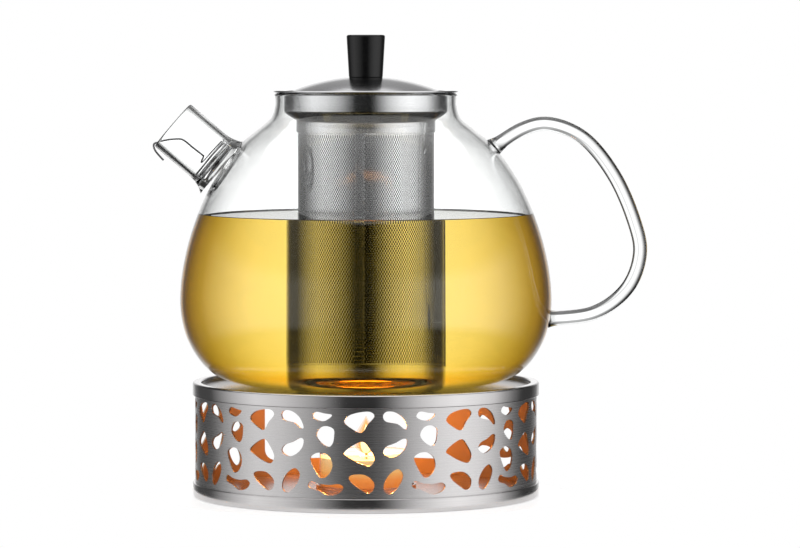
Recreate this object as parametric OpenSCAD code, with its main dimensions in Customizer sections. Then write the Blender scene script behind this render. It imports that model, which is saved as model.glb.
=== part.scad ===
// Glass teapot with a steel infuser and lid, standing on its tealight warmer.
// Millimetres, +Z up. The origin is the middle of the ring that the warmer stands on.
// The spout points to -X, the handle to +X, and the warmer's candle window faces +Y.

/* [Warmer] */
// Outer radius of the warmer's pierced wall
warmer_r = 70.2; // [69:0.2:73]
// Height of the whole warmer
warmer_h = 47; // [46:1:50]
// Thickness of the warmer's sheet steel
warmer_sheet = 0.8; // [0.6:0.1:1]
// How far the rim bands stand proud of the pierced wall
band_proud = 1; // [0.8:0.1:1.4]
// Height of the upper rim band
top_band_h = 5.4; // [4.6:0.2:5.6]
// Height of the lower rim band
base_band_h = 5.8; // [4.6:0.2:6]
// How deep the pot rest lies below the upper rim
rest_depth = 2; // [1.8:0.1:2.6]
// Radius of the heat opening under the pot
heat_hole_r = 28; // [24:1:31]
// Angle between one group of pierced holes and the next
pattern_pitch = 34; // [33.6:0.1:34.4]

/* [Tealight] */
// Radius of the tealight's cup
tealight_r = 19; // [18.5:0.1:19.2]
// Height of the tealight's cup
tealight_h = 16; // [14:0.5:17]
// Height of the wick's tip above the cup's floor
wick_h = 19; // [17.5:0.5:20]

/* [Pot] */
// Largest outer radius of the glass body
belly_r = 76.1; // [75:0.1:77]
// Height of the glass body from its foot to its rim
body_h = 120.4; // [119:0.2:122]
// Thickness of the blown glass
glass_wall = 1.8; // [1.5:0.1:2]
// Outer radius of the neck
neck_r = 37.2; // [36.8:0.1:37.6]

/* [Spout] */
// Outer radius of the spout's tube
spout_r = 11.35; // [11:0.05:11.8]
// Thickness of the spout's glass
spout_wall = 1.6; // [1.4:0.1:1.7]
// Angle of the spout's axis above the horizontal
spout_tilt = 40.5; // [39:0.5:42]
// How far the fused foot of the spout flares out
spout_flare = 2.6; // [1.5:0.1:3.2]

/* [Handle] */
// Thickness of the handle's solid glass rod
handle_d = 5.8; // [5:0.1:6.4]
// How far the rod flares out at its ends, where it is fused to the body
handle_flare = 2.6; // [1.6:0.1:3]

/* [Spout filter] */
// Thickness of the filter's steel wire
wire_d = 0.8; // [0.6:0.1:0.9]
// Number of full turns in the filter's coil
coil_turns = 4; // [3:1:5]
// Distance from one turn of the coil to the next
coil_pitch = 1.7; // [1.5:0.1:1.8]

/* [Infuser] */
// Outer radius of the strainer basket
basket_r = 28; // [27:0.2:28.4]
// Outer radius of the infuser's cup in the neck
cup_r = 33.5; // [33:0.1:34]
// Outer radius of the flange that hangs on the glass rim
flange_r = 37.9; // [37.6:0.1:38.4]
// Thickness of the infuser's sheet steel
infuser_sheet = 0.5; // [0.4:0.1:0.6]
// Gap between the basket's floor and the glass floor
basket_gap = 7.7; // [3:0.1:9]

/* [Lid] */
// Radius of the sphere that the lid's dome is part of
dome_sphere_r = 80.5; // [79:0.5:82]
// Radius of the dome's edge
dome_r = 32.3; // [32:0.1:32.4]
// Radius of the knob's top
knob_r = 7.9; // [7:0.1:9]
// Height of the knob
knob_h = 17.4; // [15:0.2:20]

/* [Hidden] */
$fn = 96;

STEEL = "#b9b9bb";
BRIGHT_STEEL = "#cfcfd2";
GLASS = "#dfeef2";
WAX = "#f4ead2";
WICK = "#4a3f35";
CLEAR_PLASTIC = "#eef0f0";
BLACK_PLASTIC = "#151515";

// Warmer: levels and radii
shell_in_r = warmer_r - warmer_sheet;
band_r = warmer_r + band_proud;
lip_in_r = shell_in_r - 1.8;
floor_z = 2;
pot_z = warmer_h - rest_depth;
shell_base_z = 1;
shell_top_z = warmer_h - 1;
edge_round = 0.9;

// Warmer: the pierced wall. Each outline is a smooth loop through its points, [along the wall, height].
FIRST_GROUP = -126.1;
GROUPS = 8;
R_OFFSET = 10.9;
P_OFFSET = 22.4;
HOLES_P = [
    [[-6, 36.4], [-3.2, 39.3], [3.6, 40.5], [6, 38.6], [3.4, 35.4], [0.9, 32.1], [-2.9, 33.6]],
    [[-6.1, 24], [-2.6, 27], [1.4, 28.5], [4, 25.9], [6, 22], [4.4, 19], [0.4, 19.9], [-3.7, 22]],
    [[-4.2, 14.4], [-2, 15.5], [2.4, 15.3], [5.8, 12.4], [5.4, 9.2], [3, 8.2], [0, 10], [-3, 12.2]]
];
HOLES_Q = [
    [[-4.8, 38.7], [-3.3, 40.4], [0, 40.1], [3.2, 37.8], [4.9, 34.2], [3.8, 33.4], [1, 35.4], [-3.6, 36.5]],
    [[-4.7, 24.2], [-3.4, 26.6], [0, 27.9], [3.4, 29.6], [4.9, 28.8], [4.2, 25.8], [1.6, 23.2], [-1.8, 22.2]],
    [[1.2, 17.6], [3.2, 15.6], [2.6, 12.6], [0.4, 9.4], [-2.2, 7.7], [-4.3, 9], [-4.3, 12.2], [-2, 15.8]]
];
HOLES_R = [
    [[-4.7, 38.5], [-3.2, 40.2], [0.4, 39.6], [3.2, 39.1], [2, 37.6], [-0.4, 36.5], [-3.4, 37.2]],
    [[-3.1, 30.8], [-1.6, 33.8], [1.2, 34.6], [3.9, 33.4], [4.1, 30.6], [3.5, 27.8], [1.8, 26.4], [-1.2, 28]],
    [[-5.6, 21.2], [-4, 23.5], [-0.6, 24], [2.4, 22.2], [3.4, 19], [2.2, 15.8], [-0.2, 14], [-2.4, 15]],
    [[-6.6, 11.3], [-5.2, 12.8], [-2.4, 11.8], [2, 11.3], [6, 11.7], [7.8, 10.2], [5.8, 8], [1.6, 7.2],
     [-2, 8.9], [-5.6, 9.9]]
];
OUTLINE_STEPS = 3;

// Warmer: the candle window at the back
window_w = 78;
window_turn = 5;
window_low = 8.5;
window_high = 38;
window_corner = 5;

// Tealight
cup_wall = 0.3;
wax_r = tealight_r - cup_wall;
wax_top_z = floor_z + tealight_h - 2.2;
wick_r = 0.7;
sustainer_r = 6;
sustainer_z = floor_z + cup_wall;
ferrule_r = 1.3;
ferrule_top_z = floor_z + 3.6;

// Glass body: outline in percent of the belly's radius and of the body's height
BODY_SHAPE = [
    [47.3, 0], [65.7, 1.1], [79.6, 3.6], [88.7, 8.3], [95.9, 15.8], [99.5, 24.1], [100, 32.4], [98, 42.4],
    [93.6, 53.2], [87, 64], [78.8, 73.5], [68.3, 82.1], [57.8, 87.7], [51, 91.4]
];
rim_bead_r = 1.2;
rim_bead_z = body_h - rim_bead_r;
rim_z = pot_z + body_h;
body_outer = through(
    concat([for (p = BODY_SHAPE) [p[0] * belly_r / 100, p[1] * body_h / 100]],
           [[neck_r, body_h - 5.4], [neck_r, rim_bead_z]]), 4);
body_inner = inset(body_outer, glass_wall);

// Spout: measured along its axis from the middle of the lip, outwards
lip_x = -79.3;
lip_z = pot_z + 107.2;
spout_reach = 32;
flare_start = -18;
flare_run = 9;
spout_bore_r = spout_r - spout_wall;

// Handle: the middle line of the rod, [distance from the pot's axis, height above its foot]. Both ends lie
// inside the body's outline, which trims them.
HANDLE_LINE = [
    [49.5, 96], [64, 105.4], [76, 107.5], [90, 101.2], [102, 86.2], [110, 68], [112.5, 54], [107, 39.8],
    [93, 29.8], [71, 27.4]
];
HANDLE_STEPS = 5;
HANDLE_SIDES = 16;
handle_flare_run = 9;

// Spout filter: the wire's hook, [across the spout, along its axis]
WIRE_HOOK = [
    [-1.4, -16.5], [-1.6, -12], [-1.7, -8.2], [-2.6, -6.2], [-5.4, -3.4], [-8.2, -1.2], [-9.6, 0.2],
    [-10.6, 0.7], [-11.6, 0.3], [-12.4, -1], [-12.9, -2.8], [-13.4, -6.6]
];
coil_r = spout_bore_r - 0.45 - wire_d / 2;
coil_start = -27;
COIL_STEPS = 20;
WIRE_SIDES = 8;
coil_steps = round((coil_turns + 0.25) * COIL_STEPS);
swirl_steps = 10;

// Infuser
flange_z = rim_z + 0.1;
flange_t = 0.8;
cup_in_r = cup_r - infuser_sheet;
funnel_top_z = flange_z - 8.1;
funnel_low_z = flange_z - 13;
basket_top_z = flange_z - 17;
basket_low_z = pot_z + glass_wall + basket_gap;
basket_sheet = 0.4;
collar_low_r = basket_r + infuser_sheet + 0.1;
bottom_band_h = 5.5;
bottom_round = 1.5;

// Lid
lid_sheet = 0.6;
apex_z = flange_z + 6.5;
dome_mid_z = apex_z - dome_sphere_r;
skirt_r = dome_r - 0.5;
skirt_low_z = funnel_top_z - 0.2;
knob_low_r = knob_r * 0.88;
knob_z = apex_z - 0.3;
screw_r = 2;
screw_hole_r = 2.05;
screw_top_z = apex_z + 9;
washer_r = 5;
washer_t = 0.8;
washer_top_z = apex_z - lid_sheet - 0.2;
screw_head_r = 3.5;
screw_head_h = 2.2;

// ---- curves -------------------------------------------------------------------------------------

// A point on the smooth stretch between b and c, with a and d as the neighbours on either side
function between(a, b, c, d, t) =
    0.5 * (2 * b + (c - a) * t + (2 * a - 5 * b + 4 * c - d) * t ^ 2 + (3 * b - a - 3 * c + d) * t ^ 3);

// A smooth open line through the points p, in n steps from each to the next
function through(p, n) = concat(
    [for (i = [0 : len(p) - 2], s = [0 : n - 1])
        between(p[max(i - 1, 0)], p[i], p[i + 1], p[min(i + 2, len(p) - 1)], s / n)],
    [p[len(p) - 1]]);

// A smooth closed loop through the points p
function loop(p, n) = [
    for (i = [0 : len(p) - 1], s = [0 : n - 1])
        let (m = len(p))
        between(p[(i + m - 1) % m], p[i], p[(i + 1) % m], p[(i + 2) % m], s / n)];

// The line p moved to its left by t
function inset(p, t) = [
    for (i = [0 : len(p) - 1])
        let (d = p[min(i + 1, len(p) - 1)] - p[max(i - 1, 0)])
        p[i] + t / norm(d) * [-d[1], d[0]]];

function reversed(p) = [for (i = [len(p) - 1 : -1 : 0]) p[i]];

// Points on an arc about c, from angle a0 to a1, in n steps
function arc(c, r, a0, a1, n) = [
    for (i = [0 : n]) let (a = a0 + (a1 - a0) * i / n) c + r * [cos(a), sin(a)]];

function unit(v) = v / norm(v);

function direction(p, i) = unit(p[min(i + 1, len(p) - 1)] - p[max(i - 1, 0)]);

// A round rod along the points p, with radius r[i] at each. Its rings turn with the line and never twist.
module rod(p, r, sides) {
    n = len(p);
    first = direction(p, 0);
    start = unit(cross(first, abs(first[1]) < 0.9 ? [0, 1, 0] : [1, 0, 0]));
    across = [
        for (i = 0, u = start; i < n;
             i = i + 1, u = i < n ? unit(u - (u * direction(p, i)) * direction(p, i)) : u) u];
    points = [
        for (i = [0 : n - 1], k = [0 : sides - 1])
            let (a = 360 * k / sides)
            p[i] + r[i] * (cos(a) * across[i] + sin(a) * cross(direction(p, i), across[i]))];
    walls = [
        for (i = [0 : n - 2], k = [0 : sides - 1])
            let (a = i * sides + k, b = i * sides + (k + 1) % sides)
            each [[a, b + sides, b], [a, a + sides, b + sides]]];
    caps = [[for (k = [0 : sides - 1]) k], [for (k = [sides - 1 : -1 : 0]) (n - 1) * sides + k]];
    polyhedron(points = points, faces = concat(walls, caps), convexity = 8);
}

// ---- warmer -------------------------------------------------------------------------------------

// The lower band: it wraps the wall's foot and turns in under it, and the whole set stands on it
module warmer_base_ring() {
    color(STEEL) rotate_extrude() polygon(concat(
        [[lip_in_r, 0]],
        arc([band_r - edge_round, edge_round], edge_round, -90, 0, 6),
        arc([band_r - 0.3, base_band_h - 0.3], 0.3, 0, 90, 3),
        [[warmer_r, base_band_h], [warmer_r, shell_base_z], [lip_in_r, shell_base_z]]));
}

// The floor plate lies on the turned-in foot of the lower band
module warmer_floor() {
    color(STEEL) translate([0, 0, shell_base_z])
        cylinder(r = shell_in_r, h = floor_z - shell_base_z);
}

// The low ring on the floor that keeps the tealight in the middle
module candle_ring() {
    color(STEEL) translate([0, 0, floor_z]) difference() {
        cylinder(r = tealight_r + 1.6, h = 2.6);
        translate([0, 0, -1]) cylinder(r = tealight_r + 0.8, h = 5);
    }
}

// One column of holes, cut straight through the wall at an angle round the warmer
module hole_column(outlines, angle) {
    rotate([0, 0, angle]) translate([0, -warmer_r + 4, 0]) rotate([90, 0, 0])
        linear_extrude(height = 8) for (p = outlines) polygon(loop(p, OUTLINE_STEPS));
}

// The pierced wall, with the window that the tealight is reached through
module warmer_shell() {
    color(STEEL) difference() {
        translate([0, 0, shell_base_z]) cylinder(r = warmer_r, h = shell_top_z - shell_base_z);
        cylinder(r = shell_in_r, h = warmer_h);
        for (g = [0 : GROUPS - 1]) {
            hole_column(HOLES_Q, FIRST_GROUP + g * pattern_pitch);
            hole_column(HOLES_R, FIRST_GROUP + g * pattern_pitch + R_OFFSET);
            hole_column(HOLES_P, FIRST_GROUP + g * pattern_pitch + P_OFFSET);
        }
        rotate([0, 0, window_turn]) translate([0, warmer_r + 5, 0]) rotate([90, 0, 0])
            linear_extrude(height = 40) hull()
                for (x = [-1, 1], z = [window_low + window_corner, window_high - window_corner])
                    translate([x * (window_w / 2 - window_corner), z]) circle(r = window_corner, $fn = 32);
    }
}

// The upper band: it caps the wall's top edge and turns in over it
module warmer_top_ring() {
    color(STEEL) rotate_extrude() polygon(concat(
        [[warmer_r, warmer_h - top_band_h]],
        arc([band_r - 0.3, warmer_h - top_band_h + 0.3], 0.3, -90, 0, 3),
        arc([band_r - edge_round, warmer_h - edge_round], edge_round, 0, 90, 6),
        arc([lip_in_r + 0.8, warmer_h - 0.8], 0.8, 90, 180, 6),
        [[lip_in_r, pot_z], [shell_in_r, pot_z], [shell_in_r, shell_top_z], [warmer_r, shell_top_z]]));
}

// The plate that the pot stands on, with the heat opening in its middle
module pot_rest_plate() {
    color(STEEL) translate([0, 0, pot_z - warmer_sheet]) difference() {
        cylinder(r = shell_in_r, h = warmer_sheet);
        translate([0, 0, -1]) cylinder(r = heat_hole_r, h = warmer_sheet + 2);
    }
}

// ---- tealight -----------------------------------------------------------------------------------

// Clear cup with a thin rolled rim
module tealight_cup() {
    top = floor_z + tealight_h;
    color(CLEAR_PLASTIC) rotate_extrude() polygon(concat(
        [[0, floor_z], [tealight_r - 0.6, floor_z], [tealight_r, floor_z + 0.6], [tealight_r, top - 0.6]],
        arc([tealight_r, top - 0.3], 0.3, -60, 90, 4),
        [[wax_r, top], [wax_r, floor_z + cup_wall], [0, floor_z + cup_wall]]));
}

// The wax is cast round the wick and its metal foot
module tealight_wax() {
    color(WAX) difference() {
        translate([0, 0, sustainer_z]) cylinder(r = wax_r, h = wax_top_z - sustainer_z);
        translate([0, 0, sustainer_z]) cylinder(r = wick_r, h = tealight_h);
        wick_sustainer();
    }
}

module tealight_wick() {
    color(WICK) translate([0, 0, sustainer_z]) cylinder(r = wick_r, h = wick_h - cup_wall);
}

// The metal foot that holds the wick upright
module wick_sustainer() {
    color(BRIGHT_STEEL) difference() {
        union() {
            translate([0, 0, sustainer_z]) cylinder(r = sustainer_r, h = 0.3);
            translate([0, 0, sustainer_z]) cylinder(r = ferrule_r, h = ferrule_top_z - sustainer_z);
        }
        translate([0, 0, sustainer_z - 1]) cylinder(r = wick_r, h = 8);
    }
}

// ---- glass pot ----------------------------------------------------------------------------------

// The pot's outer form as one filled solid, which the spout and the handle are shaped to
module filled_body() {
    translate([0, 0, pot_z]) rotate_extrude()
        polygon(concat([[0, 0]], body_outer, [[0, rim_bead_z]]));
}

// Draws its children along the spout, with z = 0 at the lip and +Z pointing out
module along_spout() {
    translate([lip_x, 0, lip_z]) rotate([0, spout_tilt - 90, 0]) children();
}

// The blown body, with a fire-polished rim and the hole that the spout opens into
module glass_body() {
    color(GLASS) difference() {
        translate([0, 0, pot_z]) rotate_extrude() polygon(concat(
            [[0, 0]],
            body_outer,
            arc([neck_r - glass_wall / 2, rim_bead_z], rim_bead_r, 0, 180, 8),
            reversed(body_inner),
            [[0, glass_wall]]));
        along_spout() translate([0, 0, -spout_reach]) cylinder(r = spout_bore_r, h = spout_reach);
    }
}

// The straight tube fused to the body's shoulder, flared at its foot and rounded at its lip
module glass_spout() {
    color(GLASS) difference() {
        along_spout() rotate_extrude() polygon(concat(
            [[spout_bore_r, -spout_reach]],
            [for (s = [8 : -1 : 0])
                [spout_r + spout_flare * (s / 8) ^ 2.5, flare_start - flare_run * s / 8]],
            arc([spout_r - spout_wall / 2, -spout_wall / 2], spout_wall / 2, 0, 180, 8)));
        filled_body();
    }
}

// The solid rod, with its ends shaped to the glass that they are fused to
module glass_handle() {
    line = [for (p = through(HANDLE_LINE, HANDLE_STEPS)) [p[0], 0, pot_z + p[1]]];
    last = len(line) - 1;
    color(GLASS) difference() {
        rod(line,
            [for (i = [0 : last])
                let (d = min(norm(line[i] - line[0]), norm(line[i] - line[last])))
                handle_d / 2 + handle_flare * max(0, 1 - d / handle_flare_run) ^ 2],
            HANDLE_SIDES);
        filled_body();
    }
}

// ---- spout filter -------------------------------------------------------------------------------

// One bent wire: a coil in the foot of the spout, a stem up its middle and a hook over its lip
module spout_filter() {
    coil = [
        for (i = [0 : coil_steps])
            let (a = 360 * i / COIL_STEPS)
            [coil_r * cos(a), coil_r * sin(a), coil_start + coil_pitch * i / COIL_STEPS]];
    coil_top = coil[coil_steps][2];
    swirl = [
        for (i = [1 : swirl_steps])
            let (s = i / swirl_steps, a = 90 + 90 * s, r = coil_r + (1.4 - coil_r) * s ^ 1.4)
            [r * cos(a), r * sin(a), coil_top + 1.6 * s ^ 2]];
    hook = [for (p = through(WIRE_HOOK, 3)) [p[0], 0, p[1]]];
    line = concat(coil, swirl, hook);
    color(BRIGHT_STEEL) along_spout()
        rod(line, [for (p = line) wire_d / 2], WIRE_SIDES);
}

// ---- infuser ------------------------------------------------------------------------------------

// Flange, cup and funnel pressed from one sheet. It hangs on the glass rim and holds the basket.
module infuser_collar() {
    color(BRIGHT_STEEL) rotate_extrude() polygon(concat(
        [[cup_in_r, flange_z + flange_t], [cup_in_r, funnel_top_z],
         [collar_low_r - infuser_sheet, funnel_low_z], [collar_low_r - infuser_sheet, basket_top_z],
         [collar_low_r, basket_top_z], [collar_low_r, funnel_low_z], [cup_r, funnel_top_z],
         [cup_r, flange_z]],
        arc([flange_r - flange_t / 2, flange_z + flange_t / 2], flange_t / 2, -90, 90, 6)));
}

// The strainer cylinder. Its top end sits in the collar's straight foot.
module infuser_basket() {
    color(BRIGHT_STEEL) translate([0, 0, basket_low_z + bottom_band_h]) difference() {
        height = funnel_low_z - 0.4 - basket_low_z - bottom_band_h;
        cylinder(r = basket_r, h = height);
        translate([0, 0, -1]) cylinder(r = basket_r - basket_sheet, h = height + 2);
    }
}

// The solid cap at the foot of the basket
module infuser_bottom() {
    color(BRIGHT_STEEL) rotate_extrude() polygon(concat(
        [[0, basket_low_z]],
        arc([basket_r - bottom_round, basket_low_z + bottom_round], bottom_round, -90, 0, 6),
        [[basket_r, basket_low_z + bottom_band_h],
         [basket_r - basket_sheet, basket_low_z + bottom_band_h],
         [basket_r - basket_sheet, basket_low_z + bottom_round],
         [basket_r - bottom_round, basket_low_z + basket_sheet], [0, basket_low_z + basket_sheet]]));
}

// ---- lid ----------------------------------------------------------------------------------------

module dome_ball(r) {
    translate([0, 0, dome_mid_z]) sphere(r = r, $fn = 180);
}

// A shallow dome of sheet steel, held under the knob by its screw
module lid_dome() {
    color(STEEL) difference() {
        intersection() {
            dome_ball(dome_sphere_r);
            translate([0, 0, flange_z - 2]) cylinder(r = dome_r, h = 20);
        }
        dome_ball(dome_sphere_r - lid_sheet);
        translate([0, 0, apex_z - 5]) cylinder(r = screw_hole_r, h = 10);
    }
}

// The ring under the dome that centres the lid in the infuser's cup
module lid_skirt() {
    color(BRIGHT_STEEL) difference() {
        intersection() {
            translate([0, 0, skirt_low_z]) cylinder(r = skirt_r, h = 12);
            dome_ball(dome_sphere_r - lid_sheet);
        }
        translate([0, 0, skirt_low_z - 1]) cylinder(r = skirt_r - infuser_sheet, h = 14);
    }
}

// The tapered knob, wider at its top
module lid_knob() {
    round = 0.8;
    top = knob_z + knob_h;
    color(BLACK_PLASTIC) difference() {
        rotate_extrude() polygon(concat(
            [[0, knob_z], [knob_low_r, knob_z]],
            arc([knob_r - round, top - round], round, 0, 90, 6),
            [[0, top]]));
        dome_ball(dome_sphere_r);
        translate([0, 0, knob_z - 1]) cylinder(r = screw_hole_r, h = screw_top_z - knob_z + 1.5);
    }
}

module knob_washer() {
    color(BRIGHT_STEEL) translate([0, 0, washer_top_z - washer_t]) difference() {
        cylinder(r = washer_r, h = washer_t);
        translate([0, 0, -1]) cylinder(r = screw_hole_r, h = washer_t + 2);
    }
}

module knob_screw() {
    head_z = washer_top_z - washer_t - screw_head_h;
    color(BRIGHT_STEEL) difference() {
        union() {
            translate([0, 0, head_z]) cylinder(r = screw_head_r, h = screw_head_h);
            translate([0, 0, head_z]) cylinder(r = screw_r, h = screw_top_z - head_z);
        }
        for (a = [0, 90]) rotate([0, 0, a]) translate([-2, -0.4, head_z - 1]) cube([4, 0.8, 2]);
    }
}

warmer_base_ring();
warmer_floor();
candle_ring();
warmer_shell();
warmer_top_ring();
pot_rest_plate();
tealight_cup();
tealight_wax();
tealight_wick();
wick_sustainer();
glass_body();
glass_spout();
glass_handle();
spout_filter();
infuser_collar();
infuser_basket();
infuser_bottom();
lid_dome();
lid_skirt();
lid_knob();
knob_washer();
knob_screw();
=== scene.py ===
# %% [markdown]
# # A glass teapot on its tealight warmer
#
# The pot is blown glass with a straight spout and a bent rod for a handle. A pierced steel infuser
# hangs in its neck, under a domed steel lid with a black knob. The pot is full of tea and stands on
# a pierced steel warmer, with a lit tealight inside.
#
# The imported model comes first. It fixes every size and every place, and this script only gives it
# its finished surfaces. Lengths are written in millimetres here and turned to metres when a piece
# is finished.

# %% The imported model
import math
import bmesh
import bpy
from mathutils import Matrix, Vector


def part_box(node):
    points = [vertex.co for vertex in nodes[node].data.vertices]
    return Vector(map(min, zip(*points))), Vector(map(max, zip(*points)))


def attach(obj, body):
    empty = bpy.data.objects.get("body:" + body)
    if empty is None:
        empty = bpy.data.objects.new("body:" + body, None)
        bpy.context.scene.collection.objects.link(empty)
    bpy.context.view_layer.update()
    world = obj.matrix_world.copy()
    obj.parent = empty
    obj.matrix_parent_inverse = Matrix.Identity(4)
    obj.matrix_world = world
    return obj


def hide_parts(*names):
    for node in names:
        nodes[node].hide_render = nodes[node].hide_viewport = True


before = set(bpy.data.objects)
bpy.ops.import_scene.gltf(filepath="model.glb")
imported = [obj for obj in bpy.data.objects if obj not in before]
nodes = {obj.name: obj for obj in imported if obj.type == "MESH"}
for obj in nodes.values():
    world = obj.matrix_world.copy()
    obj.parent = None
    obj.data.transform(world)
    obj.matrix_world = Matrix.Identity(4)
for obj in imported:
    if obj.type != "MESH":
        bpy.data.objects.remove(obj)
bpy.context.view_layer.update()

MM = 0.001


def span(node):
    """A node's lowest and highest corners in millimetres."""
    low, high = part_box(node)
    return Vector(low) / MM, Vector(high) / MM


print("nodes:", len(nodes))

# %% [markdown]
# ## The camera
#
# The set is seen from the front and from a little above, through a long lens, so that the warmer's
# rings show as flat ellipses. The camera is made first, because every piece is judged through it.

# %% The camera
CAMERA_DISTANCE = 1650
CAMERA_HEIGHT = 181
CAMERA_SIDE = 14
AIM_HEIGHT = 91
LENS = 181

camera_data = bpy.data.cameras.new("camera")
camera_data.lens = LENS
camera_data.clip_start = 0.05
camera = bpy.data.objects.new("camera", camera_data)
bpy.context.collection.objects.link(camera)
camera.location = Vector((CAMERA_SIDE, -CAMERA_DISTANCE, CAMERA_HEIGHT)) * MM
aim = Vector((CAMERA_SIDE, 0, AIM_HEIGHT)) * MM
camera.rotation_euler = (aim - camera.location).to_track_quat("-Z", "Y").to_euler()
bpy.context.scene.camera = camera
print("camera looks down by", round(math.degrees(math.atan2(CAMERA_HEIGHT - AIM_HEIGHT, CAMERA_DISTANCE)), 1))

# %% [markdown]
# ## The studio
#
# Clear glass and bright steel have no colour of their own: they show the room. So the room is
# painted as the sky of the scene, as strips that stand all round the set. There are three rings of
# them. The steel mirrors the first: broad white cards at the sides, and a dark gap at the front
# where the photographer stands, which gives the dark stripe down the middle of every cylinder. The
# second is what shows through the blown walls and the tea: a bright wall behind, which falls off to
# dark strips on either side that draw the edges. The third shows through solid glass alone, which
# is the rod of the handle, and has broader dark strips. The eye itself sees plain white.

# %% The sky of strips
WHITE = (1.0, 1.0, 1.0, 1.0)
# Degrees round from the front, positive to the handle's side, and the brightness there
MIRRORED = [
    (-180, 1.2), (-164, 0.7), (-156, 0.2), (-146, 0.08), (-124, 0.08), (-112, 0.33), (-95, 0.75),
    (-78, 1.1), (-57, 0.92), (-37, 0.56), (-22, 0.2), (-14, 0.03), (7, 0.015), (13, 0.1),
    (22, 0.4), (35, 0.85), (50, 1.18), (64, 1.35), (80, 1.2), (95, 0.95), (104, 0.55),
    (114, 0.25), (126, 0.05), (144, 0.05), (156, 0.2), (164, 0.7), (180, 1.2),
]
THROUGH = [
    (-180, 1.45), (-175, 1.4), (-170, 1.24), (-164, 0.85), (-158, 0.62), (-152, 0.47), (-146, 0.24),
    (-140, 0.1), (-137, 0.9), (-132, 0.9), (-129, 0.04), (-108, 0.04), (-100, 0.5), (-92, 1.1),
    (92, 1.1), (100, 0.5), (106, 0.04), (127, 0.04), (131, 0.9), (138, 0.9), (141, 0.15),
    (146, 0.3), (152, 0.47), (158, 0.62), (164, 0.85), (170, 1.24), (175, 1.4), (180, 1.45),
]
THROUGH_ROD = [
    (-180, 1.3), (-171, 0.9), (-165, 0.55), (-158, 0.16), (-150, 0.03), (-126, 0.03), (-117, 0.3),
    (-100, 0.8), (-88, 1.1), (88, 1.1), (100, 0.3), (112, 0.03), (136, 0.04), (143, 0.5),
    (149, 1.2), (162, 1.2), (168, 0.75), (174, 1.3), (180, 1.3),
]
# Height as the sine of the angle above level, and how much of the strips is left there
UPRIGHT = [(-1, 0.12), (-0.42, 0.12), (-0.3, 1), (0.2, 1), (0.3, 0.4), (0.62, 0.4), (0.63, 0), (1, 0)]
CEILING_START = 0.62
CEILING = (1.3, 1.3, 1.3, 1)


def add(tree, kind, **values):
    """A new node in a tree, with its properties and its numbered or named inputs set."""
    made = tree.nodes.new(kind)
    for name, value in values.items():
        if name.startswith("in_"):
            made.inputs[int(name[3:])].default_value = value
        else:
            setattr(made, name, value)
    return made


def ramp(tree, stops, source):
    """A colour ramp through (place, colour) stops, fed by source."""
    made = add(tree, "ShaderNodeValToRGB")
    bands = made.color_ramp.elements
    while len(bands) < len(stops):
        bands.new(0.5)
    for band, (place, colour) in zip(bands, stops):
        band.position = place
        band.color = colour
    tree.links.new(source, made.inputs[0])
    return made.outputs[0]


def calculate(tree, operation, *terms):
    """A Math node. Each term is a number or another node's output."""
    made = add(tree, "ShaderNodeMath", operation=operation)
    for socket, term in zip(made.inputs, terms):
        if isinstance(term, (int, float)):
            socket.default_value = term
        else:
            tree.links.new(term, socket)
    return made.outputs[0]


def mix_colours(tree, factor, first, second, blend="MIX"):
    """A Mix node for colours. Each of the three is a value or another node's output."""
    made = add(tree, "ShaderNodeMix", data_type="RGBA", blend_type=blend)
    for socket, term in zip((made.inputs[0], made.inputs[6], made.inputs[7]), (factor, first, second)):
        if isinstance(term, (int, float, tuple)):
            socket.default_value = term
        else:
            tree.links.new(term, socket)
    return made.outputs[2]


def ring(strips):
    """Colour ramp stops for one ring of strips."""
    return [(degrees / 360 + 0.5, (level, level, level, 1)) for degrees, level in strips]


def build_sky():
    """Paints the room. Light that has met steel sees one ring, and light through glass another."""
    world = bpy.data.worlds.new("studio")
    bpy.context.scene.world = world
    world.use_nodes = True
    tree = world.node_tree
    tree.nodes.clear()
    direction = add(tree, "ShaderNodeTexCoord").outputs["Generated"]
    split = add(tree, "ShaderNodeSeparateXYZ")
    tree.links.new(direction, split.inputs[0])
    x, y, z = split.outputs
    forward = calculate(tree, "MULTIPLY", y, -1)
    angle = calculate(tree, "ARCTAN2", x, forward)
    turn = calculate(tree, "MULTIPLY_ADD", angle, 1 / math.tau, 0.5)
    rise = calculate(tree, "MULTIPLY_ADD", z, 0.5, 0.5)
    path = add(tree, "ShaderNodeLightPath")
    bounced = calculate(tree, "GREATER_THAN", path.outputs["Glossy Depth"], 0.5)
    solid = calculate(tree, "LESS_THAN", path.outputs["Transmission Depth"], 2.5)
    behind = mix_colours(tree, solid, ramp(tree, ring(THROUGH), turn), ramp(tree, ring(THROUGH_ROD), turn))
    strips = mix_colours(tree, bounced, behind, ramp(tree, ring(MIRRORED), turn))
    upright = ramp(tree, [(sine / 2 + 0.5, (level, level, level, 1)) for sine, level in UPRIGHT], rise)
    walls = mix_colours(tree, 1.0, strips, upright, "MULTIPLY")
    ceiling = calculate(tree, "GREATER_THAN", z, CEILING_START)
    room = mix_colours(tree, ceiling, walls, CEILING)
    colour = mix_colours(tree, path.outputs["Is Camera Ray"], room, WHITE)
    light = add(tree, "ShaderNodeBackground")
    tree.links.new(colour, light.inputs[0])
    out = add(tree, "ShaderNodeOutputWorld")
    tree.links.new(light.outputs[0], out.inputs[0])


build_sky()
bpy.context.scene.view_settings.view_transform = "Standard"
print("stops round the room:", len(MIRRORED), len(THROUGH), len(THROUGH_ROD))

# %% [markdown]
# ## Tools for shaping
#
# Nearly all of this set was made by turning: the glass was blown and turned in a flame, and the
# steel was spun or rolled. So most pieces are an outline spun about the upright axis. An outline is
# a list of (radius, height). The helpers below draw its round stretches, spin it, and sweep a rod
# along a line.

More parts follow.
